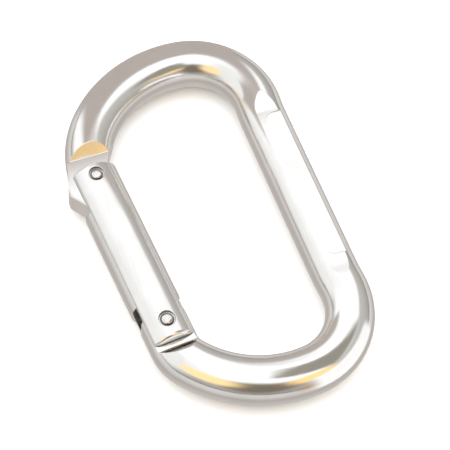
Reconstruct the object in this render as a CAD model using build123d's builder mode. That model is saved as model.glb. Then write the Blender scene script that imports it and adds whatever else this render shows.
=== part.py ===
"""An aluminium oval carabiner with a straight spring gate.

The carabiner lies flat. +Y runs along the spine toward the nose, +X points from the gate to the
spine, and +Z is up. The origin is under the middle of the whole, on the surface that it lies on.
The gate is drawn closed.
"""

import os
from math import atan2, cos, degrees, hypot, radians, sin, sqrt

from build123d import *

os.makedirs("parts", exist_ok=True)

# Whole
centre_shift = 0.4
mid_height = 6.3

# Bent rod
rod_radius = 6.0
spine_x = 23.7 + centre_shift
corner_radius = 17.0
corner_bulge = 0.3
bulge_radius = 60.0
crown_radius = 30.6
crown_x = 5.75 + centre_shift
crown_y = 15.53
brow_angle = 140.0
brow_radius = 24.0
brow_sweep = 50.0
heel_radius = 9.0

# Flats pressed into the front and the back of the spine
flat_depth = 0.7
flat_half_length = 22.0
flat_fade = 7.5
flat_runout = 0.05
panel_slope = 4.0
panel_half_length = 21.5
panel_width = 8.0
panel_inner_x = 22.0 + centre_shift
panel_corner = 3.0

# Gate line, from the hinge rivet to the latch pin
hinge_x = -20.4 + centre_shift
hinge_y = -24.8
latch_x = -23.2 + centre_shift
latch_y = 18.0
opening_angle = 25.0

# Tongues at the two ends of the rod
tongue_thickness = 6.8
shoulder_run = 2.6
nose_shoulder_y = 24.8
nose_relief_y = 6.0
nose_root_x = -28.6 + centre_shift
nose_cheek_x = -29.2 + centre_shift
nose_cheek_y = 22.0
nose_outer_x = -30.8 + centre_shift
nose_outer_y = 17.0
nose_point_y = 15.5
nose_slant = 52.0
nose_inner_x = -19.0 + centre_shift
nose_inner_y = 22.0
nose_throat_x = -17.8 + centre_shift
nose_taper_x = -14.6 + centre_shift
nose_taper_y = 29.0
tip_chamfer = 0.4
tip_gap = 0.5
notch_gap = 0.3
heel_shoulder = 6.2
cam_distance = 3.6
cam_angle = 12.0

# Gate bar
gate_radius = 6.3
gate_chamfer = 0.5
gate_heel_round = 1.0
gate_below_hinge = 4.8
gate_above_latch = 3.1
cheek_gap = 0.25
hinge_slot_reach = 6.4
nose_slot_depth = 8.3
nose_slot_floor = 5.0
bore_radius = 2.3
bore_reach = 31.0

# Pins
latch_pin_radius = 1.5
rivet_radius = 1.6
rivet_clearance = 0.05
rim_width = 0.45
rim_depth = 0.7
head_round = 0.9

# Plunger and return spring
plunger_clearance = 0.1
plunger_length = 6.0
stem_radius = 1.2
stem_length = 3.0
cam_gap = 0.1
wire_radius = 0.3
coil_radius = 1.8
coil_pitch = 1.5
coil_end_gap = 0.1

# Margin by which cutting shapes run past the metal
overcut = 2.0

half_tongue = tongue_thickness / 2
slot_width = tongue_thickness + 2 * cheek_gap
gate_length = hypot(latch_x - hinge_x, latch_y - hinge_y)
gate_lean = atan2(hinge_x - latch_x, latch_y - hinge_y)
gate_end = gate_length + gate_above_latch
nose_slot_reach = gate_length - nose_slot_depth
tip_reach = hypot(nose_slot_reach, gate_radius) + tip_gap

# The corner arc is tangent to the crown arc, and stands proud of the spine by corner_bulge.
# A shallow reverse arc leads from it into the spine line.
corner_x = spine_x + corner_bulge - corner_radius
corner_y = crown_y + sqrt((crown_radius - corner_radius) ** 2 - (corner_x - crown_x) ** 2)
corner_end = degrees(atan2(corner_y - crown_y, corner_x - crown_x))
bulge_x = spine_x + bulge_radius
bulge_y = corner_y - sqrt((bulge_radius + corner_radius) ** 2 - (bulge_x - corner_x) ** 2)
corner_start = degrees(atan2(bulge_y - corner_y, bulge_x - corner_x))

# The brow arc turns in from the crown arc toward the nose.
brow_x = crown_x + (crown_radius - brow_radius) * cos(radians(brow_angle))
brow_y = crown_y + (crown_radius - brow_radius) * sin(radians(brow_angle))
flat_level = rod_radius - flat_depth
flat_end = flat_half_length + flat_fade
fade_level = rod_radius + flat_runout
fade_middle = (flat_half_length + flat_fade / 2, (flat_level + fade_level) / 2)
plunger_radius = bore_radius - plunger_clearance
plunger_centre = (cam_distance + plunger_radius + cam_gap) / cos(radians(cam_angle))
plunger_back = plunger_centre + plunger_length
coil_end = plunger_back + coil_end_gap + wire_radius
coil_length = bore_reach - coil_end - coil_end_gap - wire_radius

# Planes: the horizontal middle plane, and three planes of the gate with their origin on the hinge.
# In gate_plan local x is across the gate, toward the spine, and local y is along it.
along_gate = Vector(-sin(gate_lean), cos(gate_lean), 0)
across_gate = Vector(cos(gate_lean), sin(gate_lean), 0)
hinge_point = Vector(hinge_x, hinge_y, mid_height)
coil_start = hinge_point + along_gate * coil_end
mid_plane = Plane.XY.offset(mid_height)
gate_plan = Plane(origin=hinge_point, x_dir=across_gate, z_dir=(0, 0, 1))
gate_section = Plane(origin=hinge_point, x_dir=across_gate, z_dir=along_gate)
gate_side = Plane(origin=hinge_point, x_dir=along_gate, z_dir=across_gate)
nose_side = Plane(origin=(latch_x, 0, mid_height), x_dir=(0, 1, 0), z_dir=(1, 0, 0))
spine_side = Plane(origin=(spine_x, 0, mid_height), x_dir=(0, 1, 0), z_dir=(1, 0, 0))

# The heel arc joins the lower crown arc to the gate line and is tangent to both.
crown_local = gate_plan.to_local_coords(Vector(crown_x, -crown_y, mid_height))
heel_drop = sqrt((crown_radius - heel_radius) ** 2 - (crown_local.X - heel_radius) ** 2)
heel_centre_local = Vector(heel_radius, crown_local.Y - heel_drop, 0)
heel_centre = gate_plan.from_local_coords(heel_centre_local)
heel_turn = degrees(atan2(heel_drop, crown_local.X - heel_radius))
heel_start = 180 + degrees(gate_lean)
lower_sweep = 360 - corner_end - heel_start - heel_turn

# The latch pin swings along this arc about the hinge; the notch follows it.
notch_arc = CenterArc((0, 0), gate_length, 90, -opening_angle, mode=Mode.PRIVATE)

# The centres of the half-planes of waste beyond the slanted nose tip and the cam flat.
nose_point = gate_plan.to_local_coords(Vector(nose_outer_x, nose_point_y, mid_height))
nose_turn = -nose_slant - degrees(gate_lean)
nose_slant_place = Location(
    (
        nose_point.X + sin(radians(nose_turn)) * gate_length / 2,
        nose_point.Y - cos(radians(nose_turn)) * gate_length / 2,
    ),
    nose_turn,
)
cam_reach = cam_distance + rod_radius
cam_place = Location(
    (-cam_reach * sin(radians(cam_angle)), cam_reach * cos(radians(cam_angle))), cam_angle
)


def relieve(far, shoulder):
    """Draws the waste on both flats of a tongue, from far to a shoulder that ramps outward."""
    rise = rod_radius + overcut - half_tongue
    run = shoulder_run * rise / (rod_radius - half_tongue)
    outward = 1 if shoulder > far else -1
    Polygon(
        (far, half_tongue),
        (shoulder, half_tongue),
        (shoulder + outward * run, half_tongue + rise),
        (far, half_tongue + rise),
        align=None,
    )
    mirror(about=Plane.XZ)


# Body: a bent round rod, flattened along the spine, with a tongue at each end
with BuildPart() as body:
    with BuildLine(mid_plane) as rod_line:
        CenterArc((brow_x, brow_y), brow_radius, brow_angle + brow_sweep, -brow_sweep)
        CenterArc((crown_x, crown_y), crown_radius, brow_angle, corner_end - brow_angle)
        CenterArc((corner_x, corner_y), corner_radius, corner_end, corner_start - corner_end)
        CenterArc((bulge_x, bulge_y), bulge_radius, 180 + corner_start, -corner_start)
        Line((spine_x, bulge_y), (spine_x, -bulge_y))
        CenterArc((bulge_x, -bulge_y), bulge_radius, 180, -corner_start)
        CenterArc((corner_x, -corner_y), corner_radius, -corner_start, corner_start - corner_end)
        CenterArc((crown_x, -crown_y), crown_radius, -corner_end, -lower_sweep)
        heel = CenterArc(
            (heel_centre.X, heel_centre.Y), heel_radius, heel_start + heel_turn, -heel_turn
        )
        Line(heel @ 1, heel @ 1 + along_gate * (rod_radius - heel_centre_local.Y))
    with BuildSketch(Plane(origin=rod_line.line @ 0, z_dir=rod_line.line % 0)):
        Circle(rod_radius)
    sweep()

    # Spine flats, which fade out into the bends along two arcs
    with BuildSketch(spine_side):
        with BuildLine():
            fade = TangentArc((flat_half_length, flat_level), fade_middle, tangent=(1, 0))
            TangentArc(fade_middle, (flat_end, fade_level), tangent=fade % 1)
            Polyline(
                (flat_end, fade_level),
                (flat_end, rod_radius + overcut),
                (0, rod_radius + overcut),
                (0, flat_level),
                (flat_half_length, flat_level),
            )
        make_face()
        mirror(about=Plane.XZ)
        mirror(about=Plane.YZ)
    extrude(amount=rod_radius + overcut, both=True, mode=Mode.SUBTRACT)

    # A shallow panel in each spine flat, which slopes down toward the outer edge
    for side in (1, -1):
        with BuildSketch(
            Plane(
                origin=(panel_inner_x, 0, mid_height + side * flat_level),
                x_dir=(cos(radians(panel_slope)), 0, -side * sin(radians(panel_slope))),
                z_dir=(side * sin(radians(panel_slope)), 0, cos(radians(panel_slope))),
            )
        ):
            with Locations((panel_width / 2, 0)):
                RectangleRounded(panel_width, 2 * panel_half_length, panel_corner)
        extrude(amount=side * overcut, mode=Mode.SUBTRACT)

    # Nose tongue: two flats, a flared outline, a slanted tip with chamfered edges, and a notch that
    # the latch pin swings into
    with BuildSketch(nose_side):
        relieve(nose_relief_y, nose_shoulder_y)
    extrude(amount=2 * rod_radius, both=True, mode=Mode.SUBTRACT)
    with BuildSketch(mid_plane):
        Polygon(
            (nose_inner_x, nose_shoulder_y),
            (nose_root_x, nose_shoulder_y),
            (nose_cheek_x, nose_cheek_y),
            (nose_outer_x, nose_outer_y),
            (nose_outer_x, nose_relief_y),
            (nose_inner_x, nose_relief_y),
            align=None,
        )
    extrude(amount=half_tongue, both=True)
    with BuildSketch(mid_plane):
        Polygon(
            (nose_inner_x, nose_relief_y),
            (nose_inner_x, nose_inner_y),
            (nose_throat_x, nose_shoulder_y),
            (nose_taper_x, nose_taper_y),
            (nose_inner_x + 2 * rod_radius, nose_relief_y),
            align=None,
        )
    extrude(amount=rod_radius + overcut, both=True, mode=Mode.SUBTRACT)
    with BuildSketch(gate_plan):
        with Locations(nose_slant_place):
            Rectangle(2 * gate_length, gate_length)
        Circle(tip_reach)
        with Locations((0, nose_slot_reach)):
            Rectangle(4 * rod_radius, 4 * rod_radius, mode=Mode.INTERSECT)
    extrude(amount=rod_radius + overcut, both=True, mode=Mode.SUBTRACT)
    nose_faces = body.faces().filter_by(Axis.Z).filter_by_position(
        Axis.Y, nose_relief_y, nose_shoulder_y
    )
    tip_edges = nose_faces.edges().filter_by_position(Axis.Y, nose_relief_y, nose_outer_y)
    chamfer(tip_edges, tip_chamfer)
    with BuildSketch(gate_plan):
        SlotArc(notch_arc, 2 * (latch_pin_radius + notch_gap))
    extrude(amount=rod_radius, both=True, mode=Mode.SUBTRACT)

    # Hinge tongue: two flats, a round knuckle cut by the cam flat, and the rivet hole
    with BuildSketch(gate_side):
        relieve(rod_radius + overcut, -heel_shoulder)
    extrude(amount=2 * rod_radius, both=True, mode=Mode.SUBTRACT)
    with BuildSketch(gate_plan):
        with Locations((0, rod_radius)):
            Rectangle(4 * rod_radius, 2 * rod_radius)
        Circle(rod_radius, mode=Mode.SUBTRACT)
        with Locations(cam_place):
            Rectangle(4 * rod_radius, 2 * rod_radius)
        Circle(rivet_radius + rivet_clearance)
    extrude(amount=rod_radius, both=True, mode=Mode.SUBTRACT)

body.part.label = "body"
export_step(body.part, "parts/body.step")

# Gate: a round bar, slotted right through at the hinge, slotted from outside at the nose, and bored
with BuildPart() as gate:
    with BuildSketch(gate_section.offset(-gate_below_hinge)):
        Circle(gate_radius)
    extrude(amount=gate_below_hinge + gate_end)
    bar_ends = gate.edges().filter_by(GeomType.CIRCLE).sort_by(Axis.Y)
    fillet(bar_ends.first, gate_heel_round)
    chamfer(bar_ends.last, gate_chamfer)
    with BuildSketch(gate_side):
        with Locations((hinge_slot_reach, 0)):
            Rectangle(2 * gate_radius + hinge_slot_reach, slot_width, align=(Align.MAX, Align.CENTER))
    extrude(amount=gate_radius + overcut, both=True, mode=Mode.SUBTRACT)
    with BuildSketch(gate_side.offset(nose_slot_floor)):
        with Locations((nose_slot_reach, 0)):
            Rectangle(2 * gate_radius + nose_slot_depth, slot_width, align=(Align.MIN, Align.CENTER))
    extrude(amount=-nose_slot_floor - gate_radius - overcut, mode=Mode.SUBTRACT)
    with BuildSketch(gate_section.offset(hinge_slot_reach)):
        Circle(bore_radius)
    extrude(amount=bore_reach - hinge_slot_reach, mode=Mode.SUBTRACT)
    with BuildSketch(gate_plan):
        Circle(rivet_radius)
        with Locations((0, gate_length)):
            Circle(latch_pin_radius)
    extrude(amount=gate_radius + overcut, both=True, mode=Mode.SUBTRACT)
    for side in (1, -1):
        with BuildSketch(gate_plan.offset(side * (gate_radius - rim_depth))):
            Circle(rivet_radius + rim_width)
            with Locations((0, gate_length)):
                Circle(latch_pin_radius + rim_width)
        extrude(amount=side * overcut, mode=Mode.SUBTRACT)

gate.part.label = "gate"
export_step(gate.part, "parts/gate.step")

# Hinge rivet, pressed into the gate's cheeks and turning in the hinge tongue
with BuildPart() as hinge_rivet:
    with BuildSketch(gate_plan):
        Circle(rivet_radius)
    extrude(amount=gate_radius, both=True)
    fillet(hinge_rivet.edges().filter_by(GeomType.CIRCLE), head_round)

hinge_rivet.part.label = "hinge_rivet"
export_step(hinge_rivet.part, "parts/hinge_rivet.step")

# Latch pin across the gate's nose slot
with BuildPart() as latch_pin:
    with BuildSketch(gate_plan):
        with Locations((0, gate_length)):
            Circle(latch_pin_radius)
    extrude(amount=gate_radius, both=True)
    fillet(latch_pin.edges().filter_by(GeomType.CIRCLE), head_round)

latch_pin.part.label = "latch_pin"
export_step(latch_pin.part, "parts/latch_pin.step")

# Plunger: a round-nosed pin that the spring presses on the cam flat
with BuildPart() as plunger:
    with BuildSketch(gate_side):
        with BuildLine():
            CenterArc((plunger_centre, 0), plunger_radius, 90, 90)
            Polyline(
                (plunger_centre, plunger_radius),
                (plunger_back, plunger_radius),
                (plunger_back, stem_radius),
                (plunger_back + stem_length, stem_radius),
                (plunger_back + stem_length, 0),
                (plunger_centre - plunger_radius, 0),
            )
        make_face()
    revolve(axis=Axis(hinge_point, along_gate))

plunger.part.label = "plunger"
export_step(plunger.part, "parts/plunger.step")

# Return spring, between the plunger and the blind end of the bore
with BuildPart() as return_spring:
    with BuildLine() as coil:
        Helix(coil_pitch, coil_length, coil_radius, center=coil_start, direction=along_gate)
    with BuildSketch(Plane(origin=coil.line @ 0, z_dir=coil.line % 0)):
        Circle(wire_radius)
    sweep(is_frenet=True)

return_spring.part.label = "return_spring"
export_step(return_spring.part, "parts/return_spring.step")
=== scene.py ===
"""Looks for the oval carabiner: satin aluminium, steel pins, a pale floor and soft studio light.

The frame is the CAD model's: +Y along the spine toward the nose, +X from the gate to the spine,
and +Z up. Lengths are in metres, and those in mm are multiplied by MM. The camera's azimuth is
measured from -Y toward +X, and those of the studio's patches from +Y toward +X.
"""

import math

import bmesh
import bpy
from mathutils import Matrix, Vector


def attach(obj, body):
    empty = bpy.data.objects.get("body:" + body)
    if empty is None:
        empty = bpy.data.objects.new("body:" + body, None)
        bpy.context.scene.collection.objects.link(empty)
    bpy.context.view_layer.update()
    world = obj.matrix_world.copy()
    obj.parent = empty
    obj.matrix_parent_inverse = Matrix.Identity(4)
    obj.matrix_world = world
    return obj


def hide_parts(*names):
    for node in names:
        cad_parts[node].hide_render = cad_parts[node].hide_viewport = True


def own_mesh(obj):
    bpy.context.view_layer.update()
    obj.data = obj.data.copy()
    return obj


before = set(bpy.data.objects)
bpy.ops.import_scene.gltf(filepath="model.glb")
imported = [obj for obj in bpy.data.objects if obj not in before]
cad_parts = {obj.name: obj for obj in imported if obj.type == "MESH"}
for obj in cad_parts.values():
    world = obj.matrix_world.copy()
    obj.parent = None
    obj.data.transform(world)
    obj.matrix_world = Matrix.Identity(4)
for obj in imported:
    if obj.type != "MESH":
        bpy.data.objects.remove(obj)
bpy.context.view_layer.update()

MM = 0.001

# Camera: where it looks, from where, and how long its lens is
LOOK_AT = Vector((3.46, -2.71, 6.3)) * MM
LOOK_DISTANCE = 399.5 * MM
LOOK_AZIMUTH = math.radians(-27.78)
LOOK_ELEVATION = math.radians(60.31)
LOOK_ROLL = math.radians(7.71)
LENS = 129.6
SENSOR_WIDTH = 36.0
CLIP_START = 0.01
CLIP_END = 20.0

# The rod's line is roughly a stadium: two half circles joined by straight runs
STADIUM_HALF_RUN = 21 * MM

# The nodes that get a smoothed copy, with the body that each copy rides on
BODY_OF = {
    "body": "frame",
    "gate": "gate",
    "hinge_rivet": "gate",
    "latch_pin": "gate",
    "return_spring": "gate",
}

# Smoothing: how near two corners are that share a point, the cosine of the turn that counts as a
# seam rather than an edge, and the cosine past which a face counts as flat
SEAM_GAP = 0.001 * MM
SEAM_TURN = math.cos(math.radians(7))
FLAT_FACE = 0.999999

# Colours that the metals start from
ALUMINIUM = (0.88, 0.872, 0.862)
ALUMINIUM_DULL = (0.80, 0.788, 0.775)
STEEL = (0.82, 0.81, 0.79)
STEEL_DULL = (0.62, 0.605, 0.585)
BRASS = (0.80, 0.62, 0.30)
BRASS_DULL = (0.60, 0.43, 0.18)
SPRING = (0.56, 0.56, 0.57)
SPRING_DULL = (0.40, 0.39, 0.38)
# Painted shade: the dark colour that recesses are darkened toward, standing for the shade that falls
# there
RECESS_SHADE = (0.05, 0.045, 0.04)

# Grain: how slowly the rod's streaks change along it, and how fine streaks, rings and speckles are
STREAK_STRETCH = 0.04
STREAK_SCALE = 2600.0
RING_SCALE = 900.0
RING_WAVER = 1.2
SPECKLE_SCALE = 2200.0

# How fine the metals' cloudy sheen and small dents are
CLOUD_SCALE = 90.0
DENT_SCALE = 1100.0

# Worn edges: their width, the cosines of the turn where wear starts and is full, and the part of
# the dents' range over which it comes and goes
WORN_WIDTH = 0.25 * MM
WORN_TURN = (0.995, 0.90)
WORN_DENTS = (0.35, 0.60)

# Painted shade in recesses: how open a spot is where the painted shade starts and where it is full
SHADE_OPENNESS = (0.72, 0.35)

# Tone: the parts of the clouds' and grain's range that dull the metal, and how much each effect does
DULL_CLOUDS = (0.35, 0.68)
DULL_GRAIN = (0.42, 0.70)
CLOUD_DULLING = 0.55
GRAIN_DULLING = 0.2
WORN_BRIGHTENING = 0.6
# Painted shade: how far the recesses are darkened toward the shade colour
SHADE_DARKENING = 0.85

# Roughness: the same for roughness, with the clouds' effect as shares of the metal's own
ROUGH_CLOUDS = (0.30, 0.70)
ROUGH_GRAIN = (0.40, 0.70)
CLOUD_ROUGHNESS = (0.85, 1.2)
GRAIN_ROUGHNESS = 0.05
WORN_POLISH = 0.04
# Roughness raised where the painted shade lies
SHADE_ROUGHNESS = 0.3

# Bump: its strength and height, and the shares of dents and grain in it
BUMP_STRENGTH = 0.10
BUMP_HEIGHT = 0.02 * MM
DENT_BUMP = 0.25
GRAIN_BUMP = 0.4

# Floor: its flat radius, the curve up into the wall, how far it lies below the object, its paper
FLOOR_RADIUS = 1.6
COVE_RADIUS = 0.5
COVE_STEPS = 12
WALL_HEIGHT = 2.5
FLOOR_SECTORS = 96
FLOOR_DROP = 0.05 * MM
MERGE_GAP = 0.01 * MM
PAPER = (0.83, 0.83, 0.83)
PAPER_LIGHT = (0.845, 0.845, 0.845)
PAPER_SCALE = 40.0
PAPER_CLOUDS = (0.3, 0.7)
PAPER_ROUGHNESS = 0.9

# The overhead light: where, its side in metres and its power in watts
SOFTBOX_PLACE = (-0.1, 0.15, 1.2)
SOFTBOX_SIZE = 2.4
SOFTBOX_POWER = 36.5

# The studio by height, from straight down (-1) to straight up (1)
GROUND_AND_WALLS = (
    (-1.00, (0.62, 0.58, 0.55)),
    (-0.60, (0.52, 0.48, 0.45)),
    (-0.30, (0.74, 0.71, 0.69)),
    (-0.05, (0.78, 0.75, 0.73)),
    (0.05, (0.46, 0.44, 0.41)),
    (0.66, (0.60, 0.585, 0.56)),
    (0.82, (1.35, 1.35, 1.35)),
)

# Soft round patches on the studio's walls: azimuth, elevation, inner and outer radius, colour
PATCHES = (
    (-80, 35, 24, 52, (1.00, 1.01, 1.00)),
    (-18, 36, 22, 44, (1.20, 1.20, 1.20)),
    (48, 46, 9, 18, (1.20, 1.20, 1.20)),
    (-165, 30, 12, 30, (0.22, 0.185, 0.14)),
    (156, 37, 7, 19, (1.40, 0.94, 0.38)),
    (-133, 36, 8, 22, (1.35, 1.00, 0.50)),
    (165, -3, 3, 11, (0.85, 0.52, 0.26)),
)

# The dark line where the ground meets the walls: its half height, with its softness, and colour
HORIZON_HALF_HEIGHT = 0.012
HORIZON_SOFTNESS = 0.03
HORIZON = (0.06, 0.055, 0.05)

# Cards near the object: where, the direction that they face, width and height in mm, colour
CARDS = {
    "grey_card": ((6, 66, 20), (0, -0.95, -0.30), 88, 105, (0.53, 0.47, 0.44)),
    "white_card": ((52, -72, 12), (-0.62, 0.78, -0.05), 90, 60, (1.15, 1.15, 1.15)),
    "olive_card": ((52, -58, 108), (-0.3, 0.1, -1.0), 95, 95, (0.34, 0.32, 0.27)),
}

# The share of a card's width or height over which it fades in and out
CARD_EDGE = 0.14


def make_camera():
    data = bpy.data.cameras.new("camera")
    data.lens = LENS
    data.sensor_width = SENSOR_WIDTH
    data.clip_start = CLIP_START
    data.clip_end = CLIP_END
    camera = bpy.data.objects.new("camera", data)
    bpy.context.scene.collection.objects.link(camera)
    level = math.cos(LOOK_ELEVATION)
    back = Vector(
        (math.sin(LOOK_AZIMUTH) * level, -math.cos(LOOK_AZIMUTH) * level, math.sin(LOOK_ELEVATION))
    )
    camera.location = LOOK_AT + back * LOOK_DISTANCE
    turn = (-back).to_track_quat("-Z", "Y").to_matrix() @ Matrix.Rotation(LOOK_ROLL, 3, "Z")
    camera.rotation_mode = "QUATERNION"
    camera.rotation_quaternion = turn.to_quaternion()
    bpy.context.scene.camera = camera


class Graph:
    """A node tree, with short calls for the nodes that the materials share."""

    def __init__(self, tree):
        self.tree = tree

    def node(self, kind, **settings):
        made = self.tree.nodes.new(kind)
        for key, value in settings.items():
            setattr(made, key, value)
        return made

    def put(self, socket, value):
        if isinstance(value, bpy.types.NodeSocket):
            self.tree.links.new(value, socket)
        elif socket.type == "RGBA":
            socket.default_value = (*value, 1.0)
        else:
            socket.default_value = value

    def math(self, operation, first, second=0.0):
        made = self.node("ShaderNodeMath", operation=operation)
        self.put(made.inputs[0], first)
        self.put(made.inputs[1], second)
        return made.outputs[0]

    def total(self, *values):
        result = values[0]
        for value in values[1:]:
            result = self.math("ADD", result, value)
        return result

    def times(self, first, second):
        return self.math("MULTIPLY", first, second)

    def ramp(self, value, low, high, low_out=0.0, high_out=1.0):
        made = self.node("ShaderNodeMapRange", interpolation_type="SMOOTHSTEP")
        for index, item in enumerate((value, low, high, low_out, high_out)):
            self.put(made.inputs[index], item)
        return made.outputs[0]

    def mix(self, factor, first, second):
        made = self.node("ShaderNodeMixRGB")
        self.put(made.inputs[0], factor)
        self.put(made.inputs[1], first)
        self.put(made.inputs[2], second)
        return made.outputs[0]

    def noise(self, vector, scale, detail=2.0, roughness=0.5):
        made = self.node("ShaderNodeTexNoise")
        self.put(made.inputs["Vector"], vector)
        made.inputs["Scale"].default_value = scale
        made.inputs["Detail"].default_value = detail
        made.inputs["Roughness"].default_value = roughness
        return made.outputs[0]

    def split(self, vector):
        made = self.node("ShaderNodeSeparateXYZ")
        self.put(made.inputs[0], vector)
        return made.outputs

    def combine(self, x, y, z):
        made = self.node("ShaderNodeCombineXYZ")
        for socket, value in zip(made.inputs, (x, y, z)):
            self.put(socket, value)
        return made.outputs[0]


def new_material(name):
    material = bpy.data.materials.new(name)
    material.use_nodes = True
    return material, Graph(material.node_tree), material.node_tree.nodes["Principled BSDF"]


def rod_grain(graph, place):
    """Fine streaks along the bent rod: long along its line, thin across it."""
    x, y, z = graph.split(place)
    past_run = graph.math("SUBTRACT", graph.math("ABSOLUTE", y), STADIUM_HALF_RUN)
    past_run = graph.math("MAXIMUM", past_run, 0.0)
    reach = graph.math("SQRT", graph.total(graph.times(x, x), graph.times(past_run, past_run)))
    along = graph.times(graph.total(x, y), STREAK_STRETCH)
    return graph.noise(graph.combine(reach, along, z), STREAK_SCALE, detail=3.0, roughness=0.6)


def turned_grain(graph, place):
    """Fine rings round a bar that lies along Y, as a lathe leaves them."""
    wave = graph.node("ShaderNodeTexWave", bands_direction="Y")
    graph.put(wave.inputs["Vector"], place)
    wave.inputs["Scale"].default_value = RING_SCALE
    wave.inputs["Distortion"].default_value = RING_WAVER
    wave.inputs["Detail"].default_value = 2.0
    return wave.outputs["Fac"]


def speckled_grain(graph, place):
    """Fine speckles without a direction."""
    return graph.noise(place, SPECKLE_SCALE, detail=4.0, roughness=0.65)


def metal(name, bright, dull, grain, roughness, shade_reach):
    """A metal with uneven sheen, fine grain, small dents, worn edges and painted shade in its
    recesses.

    The painted shade darkens it where other metal lies within the given reach.
    """
    material, graph, shader = new_material(name)
    place = graph.node("ShaderNodeTexCoord").outputs["Object"]
    cloudy = graph.noise(place, CLOUD_SCALE, detail=3.0, roughness=0.55)
    dents = graph.noise(place, DENT_SCALE, detail=4.0, roughness=0.65)
    lines = grain(graph, place)

    rounded = graph.node("ShaderNodeBevel", samples=6)
    rounded.inputs["Radius"].default_value = WORN_WIDTH
    facing = graph.node("ShaderNodeVectorMath", operation="DOT_PRODUCT")
    graph.put(facing.inputs[0], rounded.outputs[0])
    graph.put(facing.inputs[1], graph.node("ShaderNodeNewGeometry").outputs["Normal"])
    turned = graph.ramp(facing.outputs["Value"], *WORN_TURN)
    worn = graph.times(turned, graph.ramp(dents, *WORN_DENTS))

    # Painted shade: an occlusion mask darkens the colour in recesses, where shade falls, and
    # roughens them
    hollow = graph.node("ShaderNodeAmbientOcclusion", samples=6)
    hollow.inputs["Distance"].default_value = shade_reach
    recess_shade = graph.ramp(hollow.outputs["AO"], *SHADE_OPENNESS)

    tone = graph.total(
        graph.ramp(cloudy, *DULL_CLOUDS, 0.0, CLOUD_DULLING),
        graph.ramp(lines, *DULL_GRAIN, 0.0, GRAIN_DULLING),
    )
    colour = graph.mix(tone, bright, dull)
    colour = graph.mix(graph.times(worn, WORN_BRIGHTENING), colour, bright)
    colour = graph.mix(graph.times(recess_shade, SHADE_DARKENING), colour, RECESS_SHADE)
    graph.put(shader.inputs["Base Color"], colour)
    shader.inputs["Metallic"].default_value = 1.0

    smoothest, roughest = (roughness * share for share in CLOUD_ROUGHNESS)
    sheen = graph.total(
        graph.ramp(cloudy, *ROUGH_CLOUDS, smoothest, roughest),
        graph.ramp(lines, *ROUGH_GRAIN, 0.0, GRAIN_ROUGHNESS),
        graph.times(worn, -WORN_POLISH),
        graph.times(recess_shade, SHADE_ROUGHNESS),
    )
    graph.put(shader.inputs["Roughness"], sheen)

    bump = graph.node("ShaderNodeBump")
    bump.inputs["Strength"].default_value = BUMP_STRENGTH
    bump.inputs["Distance"].default_value = BUMP_HEIGHT
    relief = graph.total(graph.times(dents, DENT_BUMP), graph.times(lines, GRAIN_BUMP))
    graph.put(bump.inputs["Height"], relief)
    graph.put(bump.inputs["Normal"], rounded.outputs[0])
    graph.put(shader.inputs["Normal"], bump.outputs[0])
    return material


def smoothed_copy(name):
    """A copy of a CAD node whose shading runs evenly across the seams between its curved faces."""
    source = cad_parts[name]
    mesh = source.data.copy()
    piece = bpy.data.objects.new(name + "_surface", mesh)
    bpy.context.scene.collection.objects.link(piece)
    normals = [corner.vector.copy() for corner in mesh.corner_normals]
    curved_corners = {}
    for face in mesh.polygons:
        for corner in face.loop_indices:
            if normals[corner].dot(face.normal) < FLAT_FACE:
                point = mesh.vertices[mesh.loops[corner].vertex_index].co
                key = tuple(round(value / SEAM_GAP) for value in point)
                curved_corners.setdefault(key, []).append(corner)
    evened = list(normals)
    for corners in curved_corners.values():
        for corner in corners:
            own = normals[corner]
            alike = [normals[other] for other in corners if normals[other].dot(own) > SEAM_TURN]
            evened[corner] = sum(alike, Vector()).normalized()
    mesh.normals_split_custom_set(evened)
    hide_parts(name)
    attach(piece, BODY_OF[name])
    return piece


def shorten(spring):
    """Gives a coil spring its own copy of its mesh."""
    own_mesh(spring)


def make_metals():
    body_metal = metal(
        "body_aluminium", ALUMINIUM, ALUMINIUM_DULL, rod_grain, roughness=0.13, shade_reach=1.0 * MM
    )
    gate_metal = metal(
        "gate_aluminium", ALUMINIUM, ALUMINIUM_DULL, rod_grain, roughness=0.16, shade_reach=2.4 * MM
    )
    rivet_metal = metal(
        "rivet_steel", STEEL, STEEL_DULL, speckled_grain, roughness=0.16, shade_reach=1.6 * MM
    )
    latch_metal = metal(
        "latch_steel", STEEL, STEEL_DULL, speckled_grain, roughness=0.16, shade_reach=1.6 * MM
    )
    plunger_metal = metal(
        "plunger_brass", BRASS, BRASS_DULL, turned_grain, roughness=0.22, shade_reach=1.0 * MM
    )
    spring_metal = metal(
        "spring_steel", SPRING, SPRING_DULL, speckled_grain, roughness=0.25, shade_reach=1.0 * MM
    )
    looks = {
        "body": body_metal,
        "gate": gate_metal,
        "hinge_rivet": rivet_metal,
        "latch_pin": latch_metal,
        "plunger": plunger_metal,
        "return_spring": spring_metal,
    }
    for name, material in looks.items():
        piece = smoothed_copy(name) if name in BODY_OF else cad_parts[name]
        piece.data.materials.clear()
        piece.data.materials.append(material)
        if name == "return_spring":
            shorten(piece)


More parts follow.
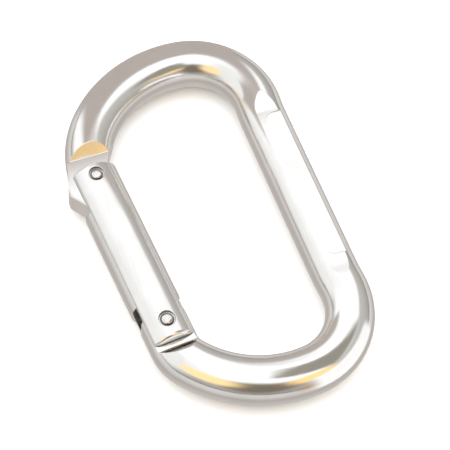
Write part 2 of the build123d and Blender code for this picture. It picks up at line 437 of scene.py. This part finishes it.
def make_floor():
    """A pale floor that curves up into a wall far away, and that the metal doesn't reflect."""
    profile = [(0.0, 0.0)]
    for step in range(COVE_STEPS + 1):
        turn = 0.5 * math.pi * step / COVE_STEPS
        reach = FLOOR_RADIUS + COVE_RADIUS * math.sin(turn)
        profile.append((reach, COVE_RADIUS - COVE_RADIUS * math.cos(turn)))
    profile.append((FLOOR_RADIUS + COVE_RADIUS, WALL_HEIGHT))
    shell = bmesh.new()
    points = [shell.verts.new((reach, 0.0, level - FLOOR_DROP)) for reach, level in profile]
    edges = [shell.edges.new(pair) for pair in zip(points, points[1:])]
    bmesh.ops.spin(
        shell,
        geom=points + edges,
        cent=(0, 0, 0),
        axis=(0, 0, 1),
        angle=2 * math.pi,
        steps=FLOOR_SECTORS,
    )
    bmesh.ops.remove_doubles(shell, verts=shell.verts, dist=MERGE_GAP)
    mesh = bpy.data.meshes.new("floor")
    shell.to_mesh(mesh)
    shell.free()
    for face in mesh.polygons:
        face.use_smooth = True
    floor = bpy.data.objects.new("floor", mesh)
    bpy.context.scene.collection.objects.link(floor)
    material, graph, shader = new_material("floor")
    place = graph.node("ShaderNodeTexCoord").outputs["Object"]
    clouds = graph.ramp(graph.noise(place, PAPER_SCALE, detail=3.0), *PAPER_CLOUDS)
    graph.put(shader.inputs["Base Color"], graph.mix(clouds, PAPER, PAPER_LIGHT))
    shader.inputs["Roughness"].default_value = PAPER_ROUGHNESS
    mesh.materials.append(material)
    floor.visible_glossy = False
    floor.visible_diffuse = False
    floor.visible_shadow = False


def soft_ends(graph, value):
    """Rises from 0 to 1 over the first part of value's run, and falls again over the last."""
    return graph.times(graph.ramp(value, 0.0, CARD_EDGE), graph.ramp(value, 1.0, 1.0 - CARD_EDGE))


def toward(azimuth, elevation):
    turn = math.radians(azimuth)
    lift = math.radians(elevation)
    return (math.sin(turn) * math.cos(lift), math.cos(turn) * math.cos(lift), math.sin(lift))


def make_studio():
    """The world is the studio: a ground, walls and a bright ceiling, with soft patches on them."""
    world = bpy.data.worlds.new("studio")
    world.use_nodes = True
    bpy.context.scene.world = world
    graph = Graph(world.node_tree)
    ray = graph.node("ShaderNodeTexCoord").outputs["Generated"]
    height = graph.split(ray)[2]
    colour = GROUND_AND_WALLS[0][1]
    for (low, _), (high, shade) in zip(GROUND_AND_WALLS, GROUND_AND_WALLS[1:]):
        colour = graph.mix(graph.ramp(height, low, high), colour, shade)
    for azimuth, elevation, inner, outer, shade in PATCHES:
        near = graph.node("ShaderNodeVectorMath", operation="DOT_PRODUCT")
        graph.put(near.inputs[0], ray)
        near.inputs[1].default_value = toward(azimuth, elevation)
        rim = math.cos(math.radians(outer))
        core = math.cos(math.radians(inner))
        colour = graph.mix(graph.ramp(near.outputs["Value"], rim, core), colour, shade)
    off_horizon = graph.math("SUBTRACT", graph.math("ABSOLUTE", height), HORIZON_HALF_HEIGHT)
    colour = graph.mix(graph.ramp(off_horizon, 0.0, HORIZON_SOFTNESS), HORIZON, colour)
    graph.put(world.node_tree.nodes["Background"].inputs["Color"], colour)
    bpy.context.scene.view_settings.view_transform = "Standard"


def make_cards():
    """Soft-edged cards close to the object, which only its reflections see."""
    for name, (place, facing, width, height, shade) in CARDS.items():
        shell = bmesh.new()
        bmesh.ops.create_grid(shell, x_segments=1, y_segments=1, size=0.5 * MM)
        bmesh.ops.scale(shell, vec=(width, height, 1), verts=shell.verts)
        mesh = bpy.data.meshes.new(name)
        shell.to_mesh(mesh)
        shell.free()
        card = bpy.data.objects.new(name, mesh)
        bpy.context.scene.collection.objects.link(card)
        card.location = Vector(place) * MM
        card.rotation_mode = "QUATERNION"
        card.rotation_quaternion = Vector(facing).to_track_quat("Z", "Y")
        material = bpy.data.materials.new(name)
        material.use_nodes = True
        material.node_tree.nodes.clear()
        graph = Graph(material.node_tree)
        across, up, _ = graph.split(graph.node("ShaderNodeTexCoord").outputs["Generated"])
        inside = graph.times(soft_ends(graph, across), soft_ends(graph, up))
        glow = graph.node("ShaderNodeEmission")
        graph.put(glow.inputs["Color"], shade)
        blend = graph.node("ShaderNodeMixShader")
        graph.put(blend.inputs[0], inside)
        graph.put(blend.inputs[1], graph.node("ShaderNodeBsdfTransparent").outputs[0])
        graph.put(blend.inputs[2], glow.outputs[0])
        graph.put(graph.node("ShaderNodeOutputMaterial").inputs["Surface"], blend.outputs[0])
        mesh.materials.append(material)
        card.visible_camera = False
        card.visible_diffuse = False
        card.visible_shadow = False


def make_light():
    """A broad soft light overhead, for the floor: the metal reflects the studio alone."""
    data = bpy.data.lights.new("softbox", "AREA")
    data.shape = "SQUARE"
    data.size = SOFTBOX_SIZE
    data.energy = SOFTBOX_POWER
    light = bpy.data.objects.new("softbox", data)
    light.location = SOFTBOX_PLACE
    light.rotation_mode = "QUATERNION"
    light.rotation_quaternion = light.location.to_track_quat("Z", "Y")
    light.visible_glossy = False
    bpy.context.scene.collection.objects.link(light)


make_camera()
make_floor()
make_studio()
make_cards()
make_light()
make_metals()
